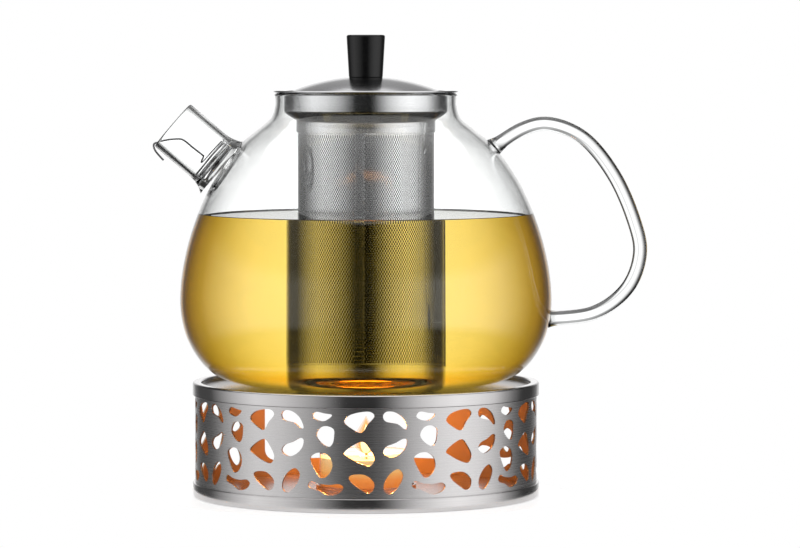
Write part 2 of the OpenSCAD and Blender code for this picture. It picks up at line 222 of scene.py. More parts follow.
# %% Curves for outlines
def arc(centre, radius, start, end, steps):
    """Points on an arc, with the angles in degrees."""
    turns = [math.radians(start + (end - start) * i / steps) for i in range(steps + 1)]
    return [(centre[0] + radius * math.cos(t), centre[1] + radius * math.sin(t)) for t in turns]


def between(a, b, c, d, t):
    """A point on the smooth stretch between b and c, with a and d as the neighbours on either side."""
    squared = 2 * a - 5 * b + 4 * c - d
    cubed = 3 * b - a - 3 * c + d
    return 0.5 * (2 * b + (c - a) * t + squared * t ** 2 + cubed * t ** 3)


def through(points, steps):
    """A smooth open line through the points, with so many steps from each to the next."""
    p = [Vector(q) for q in points]
    last = len(p) - 1
    line = [between(p[max(i - 1, 0)], p[i], p[i + 1], p[min(i + 2, last)], s / steps)
            for i in range(last) for s in range(steps)]
    return line + [p[last]]


def loop(points, steps):
    """A smooth closed loop through the points."""
    p = [Vector(q) for q in points]
    n = len(p)
    return [between(p[i - 1], p[i], p[(i + 1) % n], p[(i + 2) % n], s / steps)
            for i in range(n) for s in range(steps)]


def moved_in(line, distance):
    """A line moved to its left, which is inwards for an outline that is drawn from the foot up."""
    moved = []
    for i, point in enumerate(line):
        along = line[min(i + 1, len(line) - 1)] - line[max(i - 1, 0)]
        moved.append(point + Vector((-along.y, along.x)).normalized() * distance)
    return moved


# %% From a bmesh to a finished piece
def finish_piece(bm, name, sharp=40):
    """Makes an object from a bmesh in millimetres. Edges sharper than sharp degrees stay crisp."""
    bmesh.ops.scale(bm, vec=(MM, MM, MM), verts=bm.verts)
    mesh = bpy.data.meshes.new(name)
    bm.to_mesh(mesh)
    bm.free()
    mesh.shade_smooth()
    mesh.set_sharp_from_angle(angle=math.radians(sharp))
    piece = bpy.data.objects.new(name, mesh)
    bpy.context.collection.objects.link(piece)
    return piece


def lathe(outline, name, steps=192, closed=True, sharp=40):
    """Spins an outline about the upright axis. One whose ends are both on the axis needs no closing."""
    bm = bmesh.new()
    verts = [bm.verts.new((p[0], 0, p[1])) for p in outline]
    edges = [bm.edges.new(pair) for pair in zip(verts, verts[1:])]
    if closed:
        edges.append(bm.edges.new((verts[-1], verts[0])))
    bmesh.ops.spin(bm, geom=verts + edges, cent=(0, 0, 0), axis=(0, 0, 1), angle=math.tau, steps=steps,
                   use_merge=True, use_duplicate=False)
    bmesh.ops.remove_doubles(bm, verts=bm.verts, dist=0.002)
    bmesh.ops.recalc_face_normals(bm, faces=bm.faces)
    return finish_piece(bm, name, sharp)


def sweep(line, radii, sides, name):
    """A round rod along a line. A circle is extruded from point to point and turned to follow."""
    bm = bmesh.new()
    count = len(line)
    along = [(line[min(i + 1, count - 1)] - line[max(i - 1, 0)]).normalized() for i in range(count)]
    place = Matrix.Translation(line[0]) @ Vector((0, 0, 1)).rotation_difference(along[0]).to_matrix().to_4x4()
    circle = bmesh.ops.create_circle(bm, cap_ends=True, segments=sides, radius=radii[0], matrix=place)
    edges = list({e for v in circle["verts"] for e in v.link_edges})
    for i in range(1, count):
        made = bmesh.ops.extrude_edge_only(bm, edges=edges)["geom"]
        edges = [g for g in made if isinstance(g, bmesh.types.BMEdge)]
        verts = [g for g in made if isinstance(g, bmesh.types.BMVert)]
        size = radii[i] / radii[i - 1]
        turned = along[i - 1].rotation_difference(along[i]).to_matrix().to_4x4()
        step = Matrix.Translation(line[i]) @ turned @ Matrix.Scale(size, 4) @ Matrix.Translation(-line[i - 1])
        bmesh.ops.transform(bm, matrix=step, verts=verts)
    bmesh.ops.contextual_create(bm, geom=edges)
    bmesh.ops.recalc_face_normals(bm, faces=bm.faces)
    return finish_piece(bm, name, sharp=60)


def count_faces(*pieces):
    for piece in pieces:
        print(piece.name, len(piece.data.polygons), "faces")


# %% [markdown]
# ## Steel
#
# Every steel part here was finished while it turned, so fine lines run round it. The lines depend
# only on a point's height and its distance from the axis. A one-way noise on those two makes them
# in colour, in roughness and as very shallow grooves. The warmer is satin outside. Inside, it is
# painted brown-orange, partly the heat tint of the steel and partly a painted glow of the candle's
# light. The infuser is nearly bright, and its inner face is painted nearly black as shade, so its
# holes look dark. The underside of its cap is matt.

# %% The steel finishes
def empty_material(name):
    material = bpy.data.materials.new(name)
    material.use_nodes = True
    material.node_tree.nodes.clear()
    return material, material.node_tree


def new_material(name, values):
    """A material with one surface shader, whose named inputs are set from values."""
    material, tree = empty_material(name)
    shader = add(tree, "ShaderNodeBsdfPrincipled")
    for socket, value in values.items():
        shader.inputs[socket].default_value = value
    out = add(tree, "ShaderNodeOutputMaterial")
    tree.links.new(shader.outputs[0], out.inputs["Surface"])
    return material, tree, shader


def noise(tree, scale, detail):
    """Noise on a piece's own coordinates."""
    place = add(tree, "ShaderNodeTexCoord").outputs["Object"]
    made = add(tree, "ShaderNodeTexNoise", in_2=scale, in_3=detail)
    tree.links.new(place, made.inputs["Vector"])
    return made.outputs[0]


def relief(tree, shader, height, strength, distance):
    """Shallow relief from a height. The distance is in metres."""
    bump = add(tree, "ShaderNodeBump")
    bump.inputs["Strength"].default_value = strength
    bump.inputs["Distance"].default_value = distance
    tree.links.new(height, bump.inputs["Height"])
    tree.links.new(bump.outputs[0], shader.inputs["Normal"])


def turned_lines(tree, fineness):
    """Noise that changes with height and radius but hardly at all round the axis, and both of those."""
    place = add(tree, "ShaderNodeTexCoord").outputs["Object"]
    split = add(tree, "ShaderNodeSeparateXYZ")
    tree.links.new(place, split.inputs[0])
    x, y, z = split.outputs
    radius = calculate(tree, "SQRT", calculate(tree, "ADD", calculate(tree, "MULTIPLY", x, x),
                                               calculate(tree, "MULTIPLY", y, y)))
    wander = calculate(tree, "MULTIPLY", noise(tree, 45.0, 1.0), 0.0003)
    level = calculate(tree, "ADD", calculate(tree, "ADD", z, radius), wander)
    lines = add(tree, "ShaderNodeTexNoise", noise_dimensions="1D", in_2=fineness, in_3=4.0, in_4=0.7)
    tree.links.new(level, lines.inputs["W"])
    return lines.outputs[0], radius, z


def steel(name, colour, roughness, spread, fineness, groove, inside=None, level=None, shade_at_holes=False):
    """Turned steel. spread is how much the lines vary it, and groove is their depth in metres.

    inside is (least radius, greatest radius, colour, roughness) in millimetres, for a band of radii
    with its own colour and roughness: the basket's inner face painted nearly black as shade, the
    warmer's inner face painted brown-orange for heat tint and candle light, and the cap's matt foot.
    level is (lowest, highest, colour) for a stretch of the height that is painted a colour of its
    own. The last argument paints the steel nearly black close round the holes, as shade at their
    edges.
    """
    material, tree, shader = new_material(name, {"Metallic": 1.0})
    lines, radius, height = turned_lines(tree, fineness)
    dark = tuple(c * (1 - spread) for c in colour) + (1,)
    light = tuple(min(1, c * (1 + spread)) for c in colour) + (1,)
    tint = ramp(tree, [(0.3, dark), (0.7, light)], lines)
    rough = add(tree, "ShaderNodeMapRange", in_1=0.3, in_2=0.7, in_3=roughness * 0.85, in_4=roughness * 1.15)
    tree.links.new(lines, rough.inputs[0])
    dull = rough.outputs[0]
    if inside:
        least, greatest, inner_colour, inner_roughness = inside
        past = calculate(tree, "GREATER_THAN", radius, least * MM)
        within = calculate(tree, "MULTIPLY", past, calculate(tree, "LESS_THAN", radius, greatest * MM))
        tint = mix_colours(tree, within, tint, inner_colour + (1,))
        more = calculate(tree, "MULTIPLY", within, inner_roughness - roughness)
        dull = calculate(tree, "ADD", dull, more)
    if level:
        lowest, highest, level_colour = level
        above = calculate(tree, "GREATER_THAN", height, lowest * MM)
        inside_it = calculate(tree, "MULTIPLY", above, calculate(tree, "LESS_THAN", height, highest * MM))
        tint = mix_colours(tree, inside_it, tint, level_colour + (1,))
    if shade_at_holes:
        # Painted shade: close round each hole the steel is painted nearly black, as shade at the hole's edge.
        nearness = add(tree, "ShaderNodeAttribute", attribute_name="hole_edge").outputs["Fac"]
        painted_hole_shade = ramp(tree, [(0.7, (0, 0, 0, 1)), (0.9, WHITE)], nearness)
        tint = mix_colours(tree, painted_hole_shade, tint, (0.03, 0.03, 0.03, 1))
    tree.links.new(tint, shader.inputs["Base Color"])
    tree.links.new(dull, shader.inputs["Roughness"])
    relief(tree, shader, lines, 0.35, groove)
    return material


WALL_R = span("warmer_shell")[1].x
BASKET_R = span("infuser_basket")[1].x
# Partly painted light: the warmer's inner face is painted brown-orange, partly the heat tint of the steel and
# partly a painted glow of the candle's light on it.
HEAT_TINT_AND_CANDLE_GLOW = (WALL_R - 1.2, WALL_R - 0.25, (0.42, 0.25, 0.13), 0.5)
# Painted shade: the basket's inner face is painted nearly black, so that its holes look dark.
INNER_PAINTED_SHADE = (0, BASKET_R - 0.15, (0.035, 0.035, 0.035), 0.5)
WARMER_STEEL = steel("warmer_steel", (0.60, 0.585, 0.585), 0.28, 0.07, 2600, 0.00002, HEAT_TINT_AND_CANDLE_GLOW)
BAND_STEEL = steel("band_steel", (0.60, 0.585, 0.585), 0.15, 0.06, 2600, 0.00001)
MATT_FOOT = (0, BASKET_R - 1.2, (0.28, 0.29, 0.28), 0.75)
INFUSER_STEEL = steel("infuser_steel", (0.85, 0.85, 0.855), 0.11, 0.04, 3200, 0.000004, MATT_FOOT)
LID_STEEL = steel("lid_steel", (0.50, 0.50, 0.51), 0.17, 0.06, 3000, 0.00001)
WIRE_STEEL = steel("wire_steel", (0.42, 0.42, 0.43), 0.18, 0.05, 1500, 0.000004)
TIN = steel("tin", (0.7, 0.7, 0.7), 0.3, 0.06, 1200, 0.00001)
print("materials so far:", len(bpy.data.materials))


def dress(piece, material):
    """Gives a piece, new or imported, one material."""
    piece.data.materials.clear()
    piece.data.materials.append(material)


# %% [markdown]
# ## The warmer's rims and plates
#
# The warmer is a pierced strip rolled into a ring. A rolled band caps it at the top and another
# wraps its foot. Each band stands a millimetre proud of the wall and has a soft outer edge. The
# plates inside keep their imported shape.

# %% The two bands
wall_low, wall_high = span("warmer_shell")
band_low, band_high = span("warmer_top_ring")
base_high = span("warmer_base_ring")[1]
plate_low, plate_high = span("pot_rest_plate")
BAND_R = band_high.x
SHEET = plate_high.z - plate_low.z
WALL_IN_R = WALL_R - SHEET
LIP_R = WALL_IN_R - 1.8
BAND_EDGE = 0.9
LIP_EDGE = 0.8
SMALL_EDGE = 0.3


def top_band():
    top, foot = band_high.z, band_low.z
    outline = [(WALL_R, foot)]
    outline += arc((BAND_R - SMALL_EDGE, foot + SMALL_EDGE), SMALL_EDGE, -90, 0, 4)
    outline += arc((BAND_R - BAND_EDGE, top - BAND_EDGE), BAND_EDGE, 0, 90, 10)
    outline += arc((LIP_R + LIP_EDGE, top - LIP_EDGE), LIP_EDGE, 90, 180, 8)
    outline += [(LIP_R, plate_high.z), (WALL_IN_R, plate_high.z)]
    outline += [(WALL_IN_R, wall_high.z), (WALL_R, wall_high.z)]
    return lathe(outline, "top_band", 256)


def base_band():
    top = base_high.z
    outline = [(LIP_R, 0)]
    outline += arc((BAND_R - BAND_EDGE, BAND_EDGE), BAND_EDGE, -90, 0, 10)
    outline += arc((BAND_R - SMALL_EDGE, top - SMALL_EDGE), SMALL_EDGE, 0, 90, 4)
    outline += [(WALL_R, top), (WALL_R, wall_low.z), (LIP_R, wall_low.z)]
    return lathe(outline, "base_band", 256)


def stand_for(piece, body, slot, *replaced):
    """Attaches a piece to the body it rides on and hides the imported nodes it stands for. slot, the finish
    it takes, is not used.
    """
    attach(piece, body)
    if replaced:
        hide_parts(*replaced)
    return piece


rim = stand_for(top_band(), "warmer", "warmer_steel", "warmer_top_ring")
foot_rim = stand_for(base_band(), "warmer", "warmer_steel", "warmer_base_ring")
for piece in (rim, foot_rim):
    dress(piece, BAND_STEEL)
for piece in (nodes["warmer_floor"], nodes["candle_ring"], nodes["pot_rest_plate"]):
    dress(piece, WARMER_STEEL)
count_faces(rim, foot_rim)

# %% [markdown]
# ## The pierced wall
#
# The real wall is a flat strip that was stamped and then rolled up, and it is made the same way
# here. One group of ten holes, in three columns, fills 34 degrees of the wall. Its outlines are
# drawn flat, the sheet between them is filled, and it is cut into narrow upright strips so that it
# can bend. Eight groups and the plain cell with the candle window make the whole strip, which is
# then rolled up and given its thickness.

# %% The outlines of one group
# Each outline is a loop of [along the wall, height] from the middle of its own column
FIRST_GROUP = -126.1
GROUP_PITCH = 34
GROUPS = 8
COLUMN_Q = [
    [(-4.8, 38.7), (-3.3, 40.4), (0, 40.1), (3.2, 37.8), (4.9, 34.2), (3.8, 33.4), (1, 35.4), (-3.6, 36.5)],
    [(-4.7, 24.2), (-3.4, 26.6), (0, 27.9), (3.4, 29.6), (4.9, 28.8), (4.2, 25.8), (1.6, 23.2), (-1.8, 22.2)],
    [(1.2, 17.6), (3.2, 15.6), (2.6, 12.6), (0.4, 9.4), (-2.2, 7.7), (-4.3, 9), (-4.3, 12.2), (-2, 15.8)],
]
COLUMN_R = [
    [(-4.7, 38.5), (-3.2, 40.2), (0.4, 39.6), (3.2, 39.1), (2, 37.6), (-0.4, 36.5), (-3.4, 37.2)],
    [(-3.1, 30.8), (-1.6, 33.8), (1.2, 34.6), (3.9, 33.4), (4.1, 30.6), (3.5, 27.8), (1.8, 26.4), (-1.2, 28)],
    [(-5.6, 21.2), (-4, 23.5), (-0.6, 24), (2.4, 22.2), (3.4, 19), (2.2, 15.8), (-0.2, 14), (-2.4, 15)],
    [(-6.6, 11.3), (-5.2, 12.8), (-2.4, 11.8), (2, 11.3), (6, 11.7), (7.8, 10.2), (5.8, 8), (1.6, 7.2),
     (-2, 8.9), (-5.6, 9.9)],
]
COLUMN_P = [
    [(-6, 36.4), (-3.2, 39.3), (3.6, 40.5), (6, 38.6), (3.4, 35.4), (0.9, 32.1), (-2.9, 33.6)],
    [(-6.1, 24), (-2.6, 27), (1.4, 28.5), (4, 25.9), (6, 22), (4.4, 19), (0.4, 19.9), (-3.7, 22)],
    [(-4.2, 14.4), (-2, 15.5), (2.4, 15.3), (5.8, 12.4), (5.4, 9.2), (3, 8.2), (0, 10), (-3, 12.2)],
]
COLUMNS = [(0, COLUMN_Q), (10.9, COLUMN_R), (22.4, COLUMN_P)]
CELL_START = -5.35
OUTLINE_STEPS = 6
STRIP_STEP = 1.7

# The candle window, as a box with round corners across the back of the wall
WINDOW_TURN = 185
WINDOW_W = 78
WINDOW_LOW = 8.5
WINDOW_HIGH = 38
WINDOW_CORNER = 5


def flat_place(along, height, turn):
    """Where a point of a hole lies in the flat sheet: degrees round the wall, and height."""
    return Vector((turn + math.degrees(math.asin(along / WALL_R)), 0, height))


def draw_loop(bm, points):
    verts = [bm.verts.new(p) for p in points]
    return [bm.edges.new(pair) for pair in zip(verts, verts[1:] + verts[:1])]


def draw_frame(bm, start, end):
    """The border of a flat cell, with a point at each strip so that neighbours meet."""
    steps = round((end - start) / STRIP_STEP)
    turns = [start + (end - start) * i / steps for i in range(steps + 1)]
    foot = [(t, 0, wall_low.z) for t in turns]
    top = [(t, 0, wall_high.z) for t in reversed(turns)]
    return draw_loop(bm, foot + top), turns


def fill_cell(start, end, outlines):
    """A flat cell of the wall with its holes, cut into strips."""
    bm = bmesh.new()
    edges, turns = draw_frame(bm, start, end)
    for points in outlines:
        edges += draw_loop(bm, points)
    bmesh.ops.triangle_fill(bm, edges=edges, use_beauty=True, use_dissolve=False, normal=(0, -1, 0))
    for turn in turns[1:-1]:
        everything = bm.verts[:] + bm.edges[:] + bm.faces[:]
        bmesh.ops.bisect_plane(bm, geom=everything, dist=0.0005, plane_co=(turn, 0, 0), plane_no=(1, 0, 0))
    return bm


def group_outlines():
    return [[flat_place(p.x, p.y, turn) for p in loop(points, OUTLINE_STEPS)]
            for turn, column in COLUMNS for points in column]


def window_outline():
    corner_x = WINDOW_W / 2 - WINDOW_CORNER
    corners = [(corner_x, WINDOW_HIGH - WINDOW_CORNER, 0), (-corner_x, WINDOW_HIGH - WINDOW_CORNER, 90),
               (-corner_x, WINDOW_LOW + WINDOW_CORNER, 180), (corner_x, WINDOW_LOW + WINDOW_CORNER, 270)]
    points = [p for x, z, a in corners for p in arc((x, z), WINDOW_CORNER, a, a + 90, 10)]
    return [flat_place(x, z, WINDOW_TURN) for x, z in points]


def pierced_wall():
    cell_end = CELL_START + GROUP_PITCH
    bm = fill_cell(CELL_START, cell_end, group_outlines())
    cell = bm.verts[:] + bm.edges[:] + bm.faces[:]
    for group in range(1, GROUPS):
        copied = bmesh.ops.duplicate(bm, geom=cell)["geom"]
        verts = [g for g in copied if isinstance(g, bmesh.types.BMVert)]
        bmesh.ops.translate(bm, vec=(group * GROUP_PITCH, 0, 0), verts=verts)
    bmesh.ops.translate(bm, vec=(FIRST_GROUP, 0, 0), verts=bm.verts)
    holes_end = FIRST_GROUP + CELL_START + GROUPS * GROUP_PITCH
    window = fill_cell(holes_end, FIRST_GROUP + CELL_START + 360, [window_outline()])
    spare = bpy.data.meshes.new("window_cell")
    window.to_mesh(spare)
    window.free()
    bm.from_mesh(spare)
    bpy.data.meshes.remove(spare)
    for vert in bm.verts:
        turn = math.radians(vert.co.x)
        vert.co = Vector((WALL_R * math.sin(turn), -WALL_R * math.cos(turn), vert.co.z))
    bmesh.ops.remove_doubles(bm, verts=bm.verts, dist=0.002)
    bmesh.ops.dissolve_degenerate(bm, dist=0.001, edges=bm.edges)
    bmesh.ops.recalc_face_normals(bm, faces=bm.faces)
    outer = bm.faces[:]
    middles = [f.calc_center_median() for f in outer]
    if sum(f.normal.dot(Vector((m.x, m.y, 0))) for f, m in zip(outer, middles)) < 0:
        bmesh.ops.reverse_faces(bm, faces=outer)
    bmesh.ops.solidify(bm, geom=bm.faces[:], thickness=SHEET)
    return finish_piece(bm, "pierced_wall", sharp=30)


wall = stand_for(pierced_wall(), "warmer", "warmer_steel", "warmer_shell")
dress(wall, WARMER_STEEL)
count_faces(wall)

# %% [markdown]
# ## Glass
#
# Blown glass is smooth but never quite even. The surface is a clear shader with the index of
# borosilicate glass, and a shallow slow wave stands for the hand that turned it. The body, the
# spout and the rod of the handle are melted into one another, so they are joined into one mesh with
# no surface left inside the joints: a ray of light then bends only where it enters and leaves.

# %% The glass finish
GLASS_INDEX = 1.47


def clear_glass():
    values = {"Transmission Weight": 1.0, "IOR": GLASS_INDEX, "Roughness": 0.0}
    material, tree, shader = new_material("clear_glass", values)
    wave = noise(tree, 22.0, 1.0)
    tint = ramp(tree, [(0.3, (0.975, 0.985, 0.985, 1)), (0.7, (0.99, 0.995, 0.99, 1))], wave)
    tree.links.new(tint, shader.inputs["Base Color"])
    relief(tree, shader, wave, 0.1, 0.0003)
    return material


GLASS = clear_glass()

# %% The blown body
pot_low, pot_high = span("glass_body")
FOOT_Z = pot_low.z
BELLY_R = pot_high.x
BODY_H = pot_high.z - pot_low.z
GLASS_WALL = 1.8
NECK_R = 37.2
RIM_BEAD_R = 1.2
RIM_BEAD_Z = BODY_H - RIM_BEAD_R
# The body's outline in percent of its largest radius and of its height
BODY_SHAPE = [
    (47.3, 0), (65.7, 1.1), (79.6, 3.6), (88.7, 8.3), (95.9, 15.8), (99.5, 24.1), (100, 32.4),
    (98, 42.4), (93.6, 53.2), (87, 64), (78.8, 73.5), (68.3, 82.1), (57.8, 87.7), (51, 91.4),
]


def body_lines():
    """The outer line of the glass and the inner one, from the foot up."""
    shape = [(r * BELLY_R / 100, z * BODY_H / 100) for r, z in BODY_SHAPE]
    outer = through(shape + [(NECK_R, BODY_H - 5.4), (NECK_R, RIM_BEAD_Z)], 8)
    return outer, moved_in(outer, GLASS_WALL)


def raised(line):
    """A line measured from the pot's foot, lifted to where the pot stands."""
    return [(p[0], p[1] + FOOT_Z) for p in line]


outer_line, inner_line = body_lines()


def blown_body():
    outline = [(0, 0)] + outer_line
    outline += arc((NECK_R - GLASS_WALL / 2, RIM_BEAD_Z), RIM_BEAD_R, 0, 180, 12)
    outline += list(reversed(inner_line)) + [(0, GLASS_WALL)]
    return lathe(raised(outline), "pot_glass", 224, closed=False, sharp=60)


# %% The spout's tube
# It is measured along its own axis from the middle of its lip, outwards
SPOUT_TILT = 40.5
LIP_X = -79.3
LIP_Z = FOOT_Z + 107.2
SPOUT_R = 11.35
SPOUT_WALL = 1.6
SPOUT_BORE_R = SPOUT_R - SPOUT_WALL
SPOUT_REACH = 32
FLARE_START = 18
FLARE_RUN = 9
FLARE = 2.6
spout_place = Matrix.Translation((LIP_X, 0, LIP_Z)) @ Matrix.Rotation(math.radians(SPOUT_TILT - 90), 4, "Y")


def put_on_spout(piece):
    piece.data.transform(Matrix.Scale(MM, 4) @ spout_place @ Matrix.Scale(1 / MM, 4))
    return piece


def spout_tube():
    shares = [s / 12 for s in range(12, -1, -1)]
    flare = [(SPOUT_R + FLARE * s ** 2.5, -FLARE_START - FLARE_RUN * s) for s in shares]
    lip = arc((SPOUT_R - SPOUT_WALL / 2, -SPOUT_WALL / 2), SPOUT_WALL / 2, 0, 180, 12)
    return put_on_spout(lathe([(SPOUT_BORE_R, -FLARE_START - FLARE_RUN)] + flare + lip, "spout_tube", 96))


def spout_bore():
    outline = [(0, -SPOUT_REACH), (SPOUT_BORE_R, -SPOUT_REACH), (SPOUT_BORE_R, -4), (0, -4)]
    return put_on_spout(lathe(outline, "spout_bore", 96, closed=False))


# %% The handle's rod
HANDLE_R = 2.9
HANDLE_FLARE = 2.6
HANDLE_FLARE_RUN = 9
# The middle line of the rod: distance from the pot's axis, and height above its foot
HANDLE_LINE = [
    (49.5, 96), (64, 105.4), (76, 107.5), (90, 101.2), (102, 86.2),
    (110, 68), (112.5, 54), (107, 39.8), (93, 29.8), (71, 27.4),
]
HANDLE_STEPS = 12


def handle_rod():
    line = [Vector((p.x, 0, p.y + FOOT_Z)) for p in through(HANDLE_LINE, HANDLE_STEPS)]
    near_end = [min((p - line[0]).length, (p - line[-1]).length) for p in line]
    radii = [HANDLE_R + HANDLE_FLARE * max(0, 1 - d / HANDLE_FLARE_RUN) ** 2 for d in near_end]
    return sweep(line, radii, 48, "handle_rod")


# %% Melting the three together
def carve(piece, tool, operation):
    """Applies one Boolean to a piece and throws the tool away."""
    step = piece.modifiers.new(operation, "BOOLEAN")
    step.operation = operation
    step.solver = "EXACT"
    step.object = tool
    bpy.context.view_layer.update()
    shaped = bpy.data.meshes.new_from_object(piece.evaluated_get(bpy.context.evaluated_depsgraph_get()))
    piece.modifiers.clear()
    piece.data = shaped
    bpy.data.objects.remove(tool)


def filled_body():
    """The pot's outer form, filled to the middle of its wall, which trims what is melted to it."""
    middle = moved_in(outer_line, GLASS_WALL / 2)
    outline = [(0, GLASS_WALL / 2)] + middle + [(0, RIM_BEAD_Z)]
    return lathe(raised(outline), "trimmer", 160, closed=False)


def melted_pot():
    pot = blown_body()
    tube = spout_tube()
    carve(tube, filled_body(), "DIFFERENCE")
    rod = handle_rod()
    carve(rod, filled_body(), "DIFFERENCE")
    carve(pot, spout_bore(), "DIFFERENCE")
    carve(pot, tube, "UNION")
    carve(pot, rod, "UNION")
    pot.data.shade_smooth()
    pot.data.set_sharp_from_angle(angle=math.radians(50))
    return pot


pot = stand_for(melted_pot(), "teapot", "clear_glass", "glass_body", "glass_spout", "glass_handle")
dress(pot, GLASS)
count_faces(pot)

# %% [markdown]
# ## The tea
#
# The tea is a closed solid whose side lies in the middle of the glass wall, so that no film of air
# is left between them. Its top curls up where it meets the glass. The colour comes from depth: it
# takes a little blue and green out of the light for each millimetre that the light goes through.
# Most of that is given to the outer centimetre, a second solid inside the first that bends no
# light, so that the tea is pale in the middle and deep amber wherever the eye looks along the
# glass.

# %% The tea
TEA_TOP = 115.2
MENISCUS_H = 0.9
MENISCUS_RUN = 2.2
TEA_INDEX = 1.17
RIM_LAYER = 9


def tea_outline():
    middle = [p + Vector((0, FOOT_Z)) for p in moved_in(outer_line, GLASS_WALL / 2)]
    side = [p for p in middle if p.y < TEA_TOP + MENISCUS_H]
    edge = side[-1].x
    curl = []
    for i in range(9):
        s = i / 8
        curl.append((edge - MENISCUS_RUN * s, TEA_TOP + MENISCUS_H * (1 - s) ** 2.4))
    return [(0, FOOT_Z + GLASS_WALL / 2)] + side + curl[1:] + [(0, TEA_TOP)]


def rim_outline():
    """The tea's outer layer, from under the foot up to just below the surface and down the inside."""
    top = TEA_TOP - 0.15
    outer = [p + Vector((0, FOOT_Z)) for p in moved_in(outer_line, GLASS_WALL / 2 + 0.2)]
    inner = [p + Vector((0, FOOT_Z)) for p in moved_in(outer_line, GLASS_WALL / 2 + RIM_LAYER)]
    outer = [p for p in outer if p.y < top]
    inner = [p for p in inner if p.y < top]
    floor = FOOT_Z + GLASS_WALL / 2
    up = [(0, floor + 0.2)] + outer + [(outer[-1].x - 0.1, top)]
    return up + [(inner[-1].x, top)] + inner[::-1] + [(0, floor + RIM_LAYER)]


def tea_finish(name, index, colour, density):
    """Clear liquid. What density takes from each colour in a metre depends on how far it is from 1."""
    values = {"Transmission Weight": 1.0, "IOR": index, "Roughness": 0.0}
    material, tree, shader = new_material(name, values)
    ripple = noise(tree, 60.0, 2.0)
    relief(tree, shader, ripple, 0.1, 0.0002)
    tint = ramp(tree, [(0.3, (0.985, 0.985, 0.98, 1)), (0.7, WHITE)], ripple)
    tree.links.new(tint, shader.inputs["Base Color"])
    depth = add(tree, "ShaderNodeVolumeAbsorption")
    depth.inputs["Color"].default_value = colour + (1,)
    depth.inputs["Density"].default_value = density
    out = next(n for n in tree.nodes if n.type == "OUTPUT_MATERIAL")
    tree.links.new(depth.outputs[0], out.inputs["Volume"])
    return material


tea = lathe(tea_outline(), "tea", 224, closed=False, sharp=60)
stand_for(tea, "teapot", None)
dress(tea, tea_finish("tea", TEA_INDEX, (0.82, 0.7, 0.0), 1.7))
tea_rim = lathe(rim_outline(), "tea_rim", 192, closed=False, sharp=60)
stand_for(tea_rim, "teapot", None)
dress(tea_rim, tea_finish("tea_rim", 1.0, (0.987, 0.815, 0.0), 90.0))
count_faces(tea, tea_rim)

# %% [markdown]
# ## The infuser
#
# The collar is pressed from one sheet: a flange that hangs on the glass rim, a short cup, a funnel
# and a straight foot. The basket below it is a tube of finely pierced sheet, closed by a plain cap.

# %% The collar and the cap
collar_low, collar_high = span("infuser_collar")
basket_low, basket_high = span("infuser_basket")
cap_low, cap_high = span("infuser_bottom")
FLANGE_R = collar_high.x
FLANGE_T = 0.8
FLANGE_Z = collar_high.z - FLANGE_T
CUP_R = 33.5
INFUSER_SHEET = 0.5
FUNNEL_TOP = FLANGE_Z - 8.1
FUNNEL_LOW = FLANGE_Z - 13
BASKET_SHEET = 0.4
COLLAR_FOOT_R = BASKET_R + INFUSER_SHEET + 0.1
# The funnel band is painted a darker colour than the rest of the collar.
FUNNEL_STEEL = (0.26, 0.26, 0.27)
BEND = 0.7


def soften(points, radius, steps=4):
    """Rounds each inner corner of an open line."""
    line = [Vector(points[0])]
    for before, corner, after in zip(points, points[1:], points[2:]):
        corner = Vector(corner)
        start = corner + (Vector(before) - corner).normalized() * radius
        end = corner + (Vector(after) - corner).normalized() * radius
        for i in range(steps + 1):
            s = i / steps
            line.append(start * (1 - s) ** 2 + corner * 2 * s * (1 - s) + end * s ** 2)
    return line + [Vector(points[-1])]


def collar():
    top = FLANGE_Z + FLANGE_T
    cup_in_r = CUP_R - INFUSER_SHEET
    foot_in_r = COLLAR_FOOT_R - INFUSER_SHEET
    inner = soften([(cup_in_r + 0.8, top), (cup_in_r, top), (cup_in_r, FUNNEL_TOP), (foot_in_r, FUNNEL_LOW),
                    (foot_in_r, collar_low.z)], BEND)
    outer = soften([(COLLAR_FOOT_R, collar_low.z), (COLLAR_FOOT_R, FUNNEL_LOW), (CUP_R, FUNNEL_TOP),
                    (CUP_R, FLANGE_Z), (FLANGE_R - FLANGE_T / 2, FLANGE_Z)], BEND)
    edge = arc((FLANGE_R - FLANGE_T / 2, FLANGE_Z + FLANGE_T / 2), FLANGE_T / 2, -90, 90, 10)
    return lathe([tuple(p) for p in inner + outer] + edge, "infuser_collar_pressed", 192)


def cap():
    low, top, turn = cap_low.z, cap_high.z, 1.5
    inner_r = BASKET_R - BASKET_SHEET
    outline = [(0, low)] + arc((BASKET_R - turn, low + turn), turn, -90, 0, 10)
    outline += [(BASKET_R, top), (inner_r, top), (inner_r, low + turn)]
    outline += [(BASKET_R - turn, low + BASKET_SHEET), (0, low + BASKET_SHEET)]
    return lathe(outline, "infuser_cap", 192, closed=False)


pressed = stand_for(collar(), "infuser", "infuser_steel", "infuser_collar")
dress(pressed, steel("collar_steel", (0.76, 0.76, 0.77), 0.11, 0.04, 3200, 0.000004,
                     level=(FUNNEL_LOW - 0.2, FUNNEL_TOP - 0.3, FUNNEL_STEEL)))
closing_cap = stand_for(cap(), "infuser", "infuser_steel", "infuser_bottom")
dress(closing_cap, INFUSER_STEEL)
count_faces(pressed, closing_cap)

# %% [markdown]
# ## The pierced basket
#
# The sheet has thousands of holes, each well under a millimetre wide, in staggered rows. They are
# real holes here, because light and tea pass through them. One hole is a six-sided ring in a
# six-sided cell, and close round it the steel is painted dark as shade at the hole's edge. The cells
# are laid out flat, as on the press, the top and bottom rows are drawn out to straight plain edges,
# and the sheet is given its thickness and rolled up. It is made as four quarter panels, because the
# whole would be too heavy for one mesh.

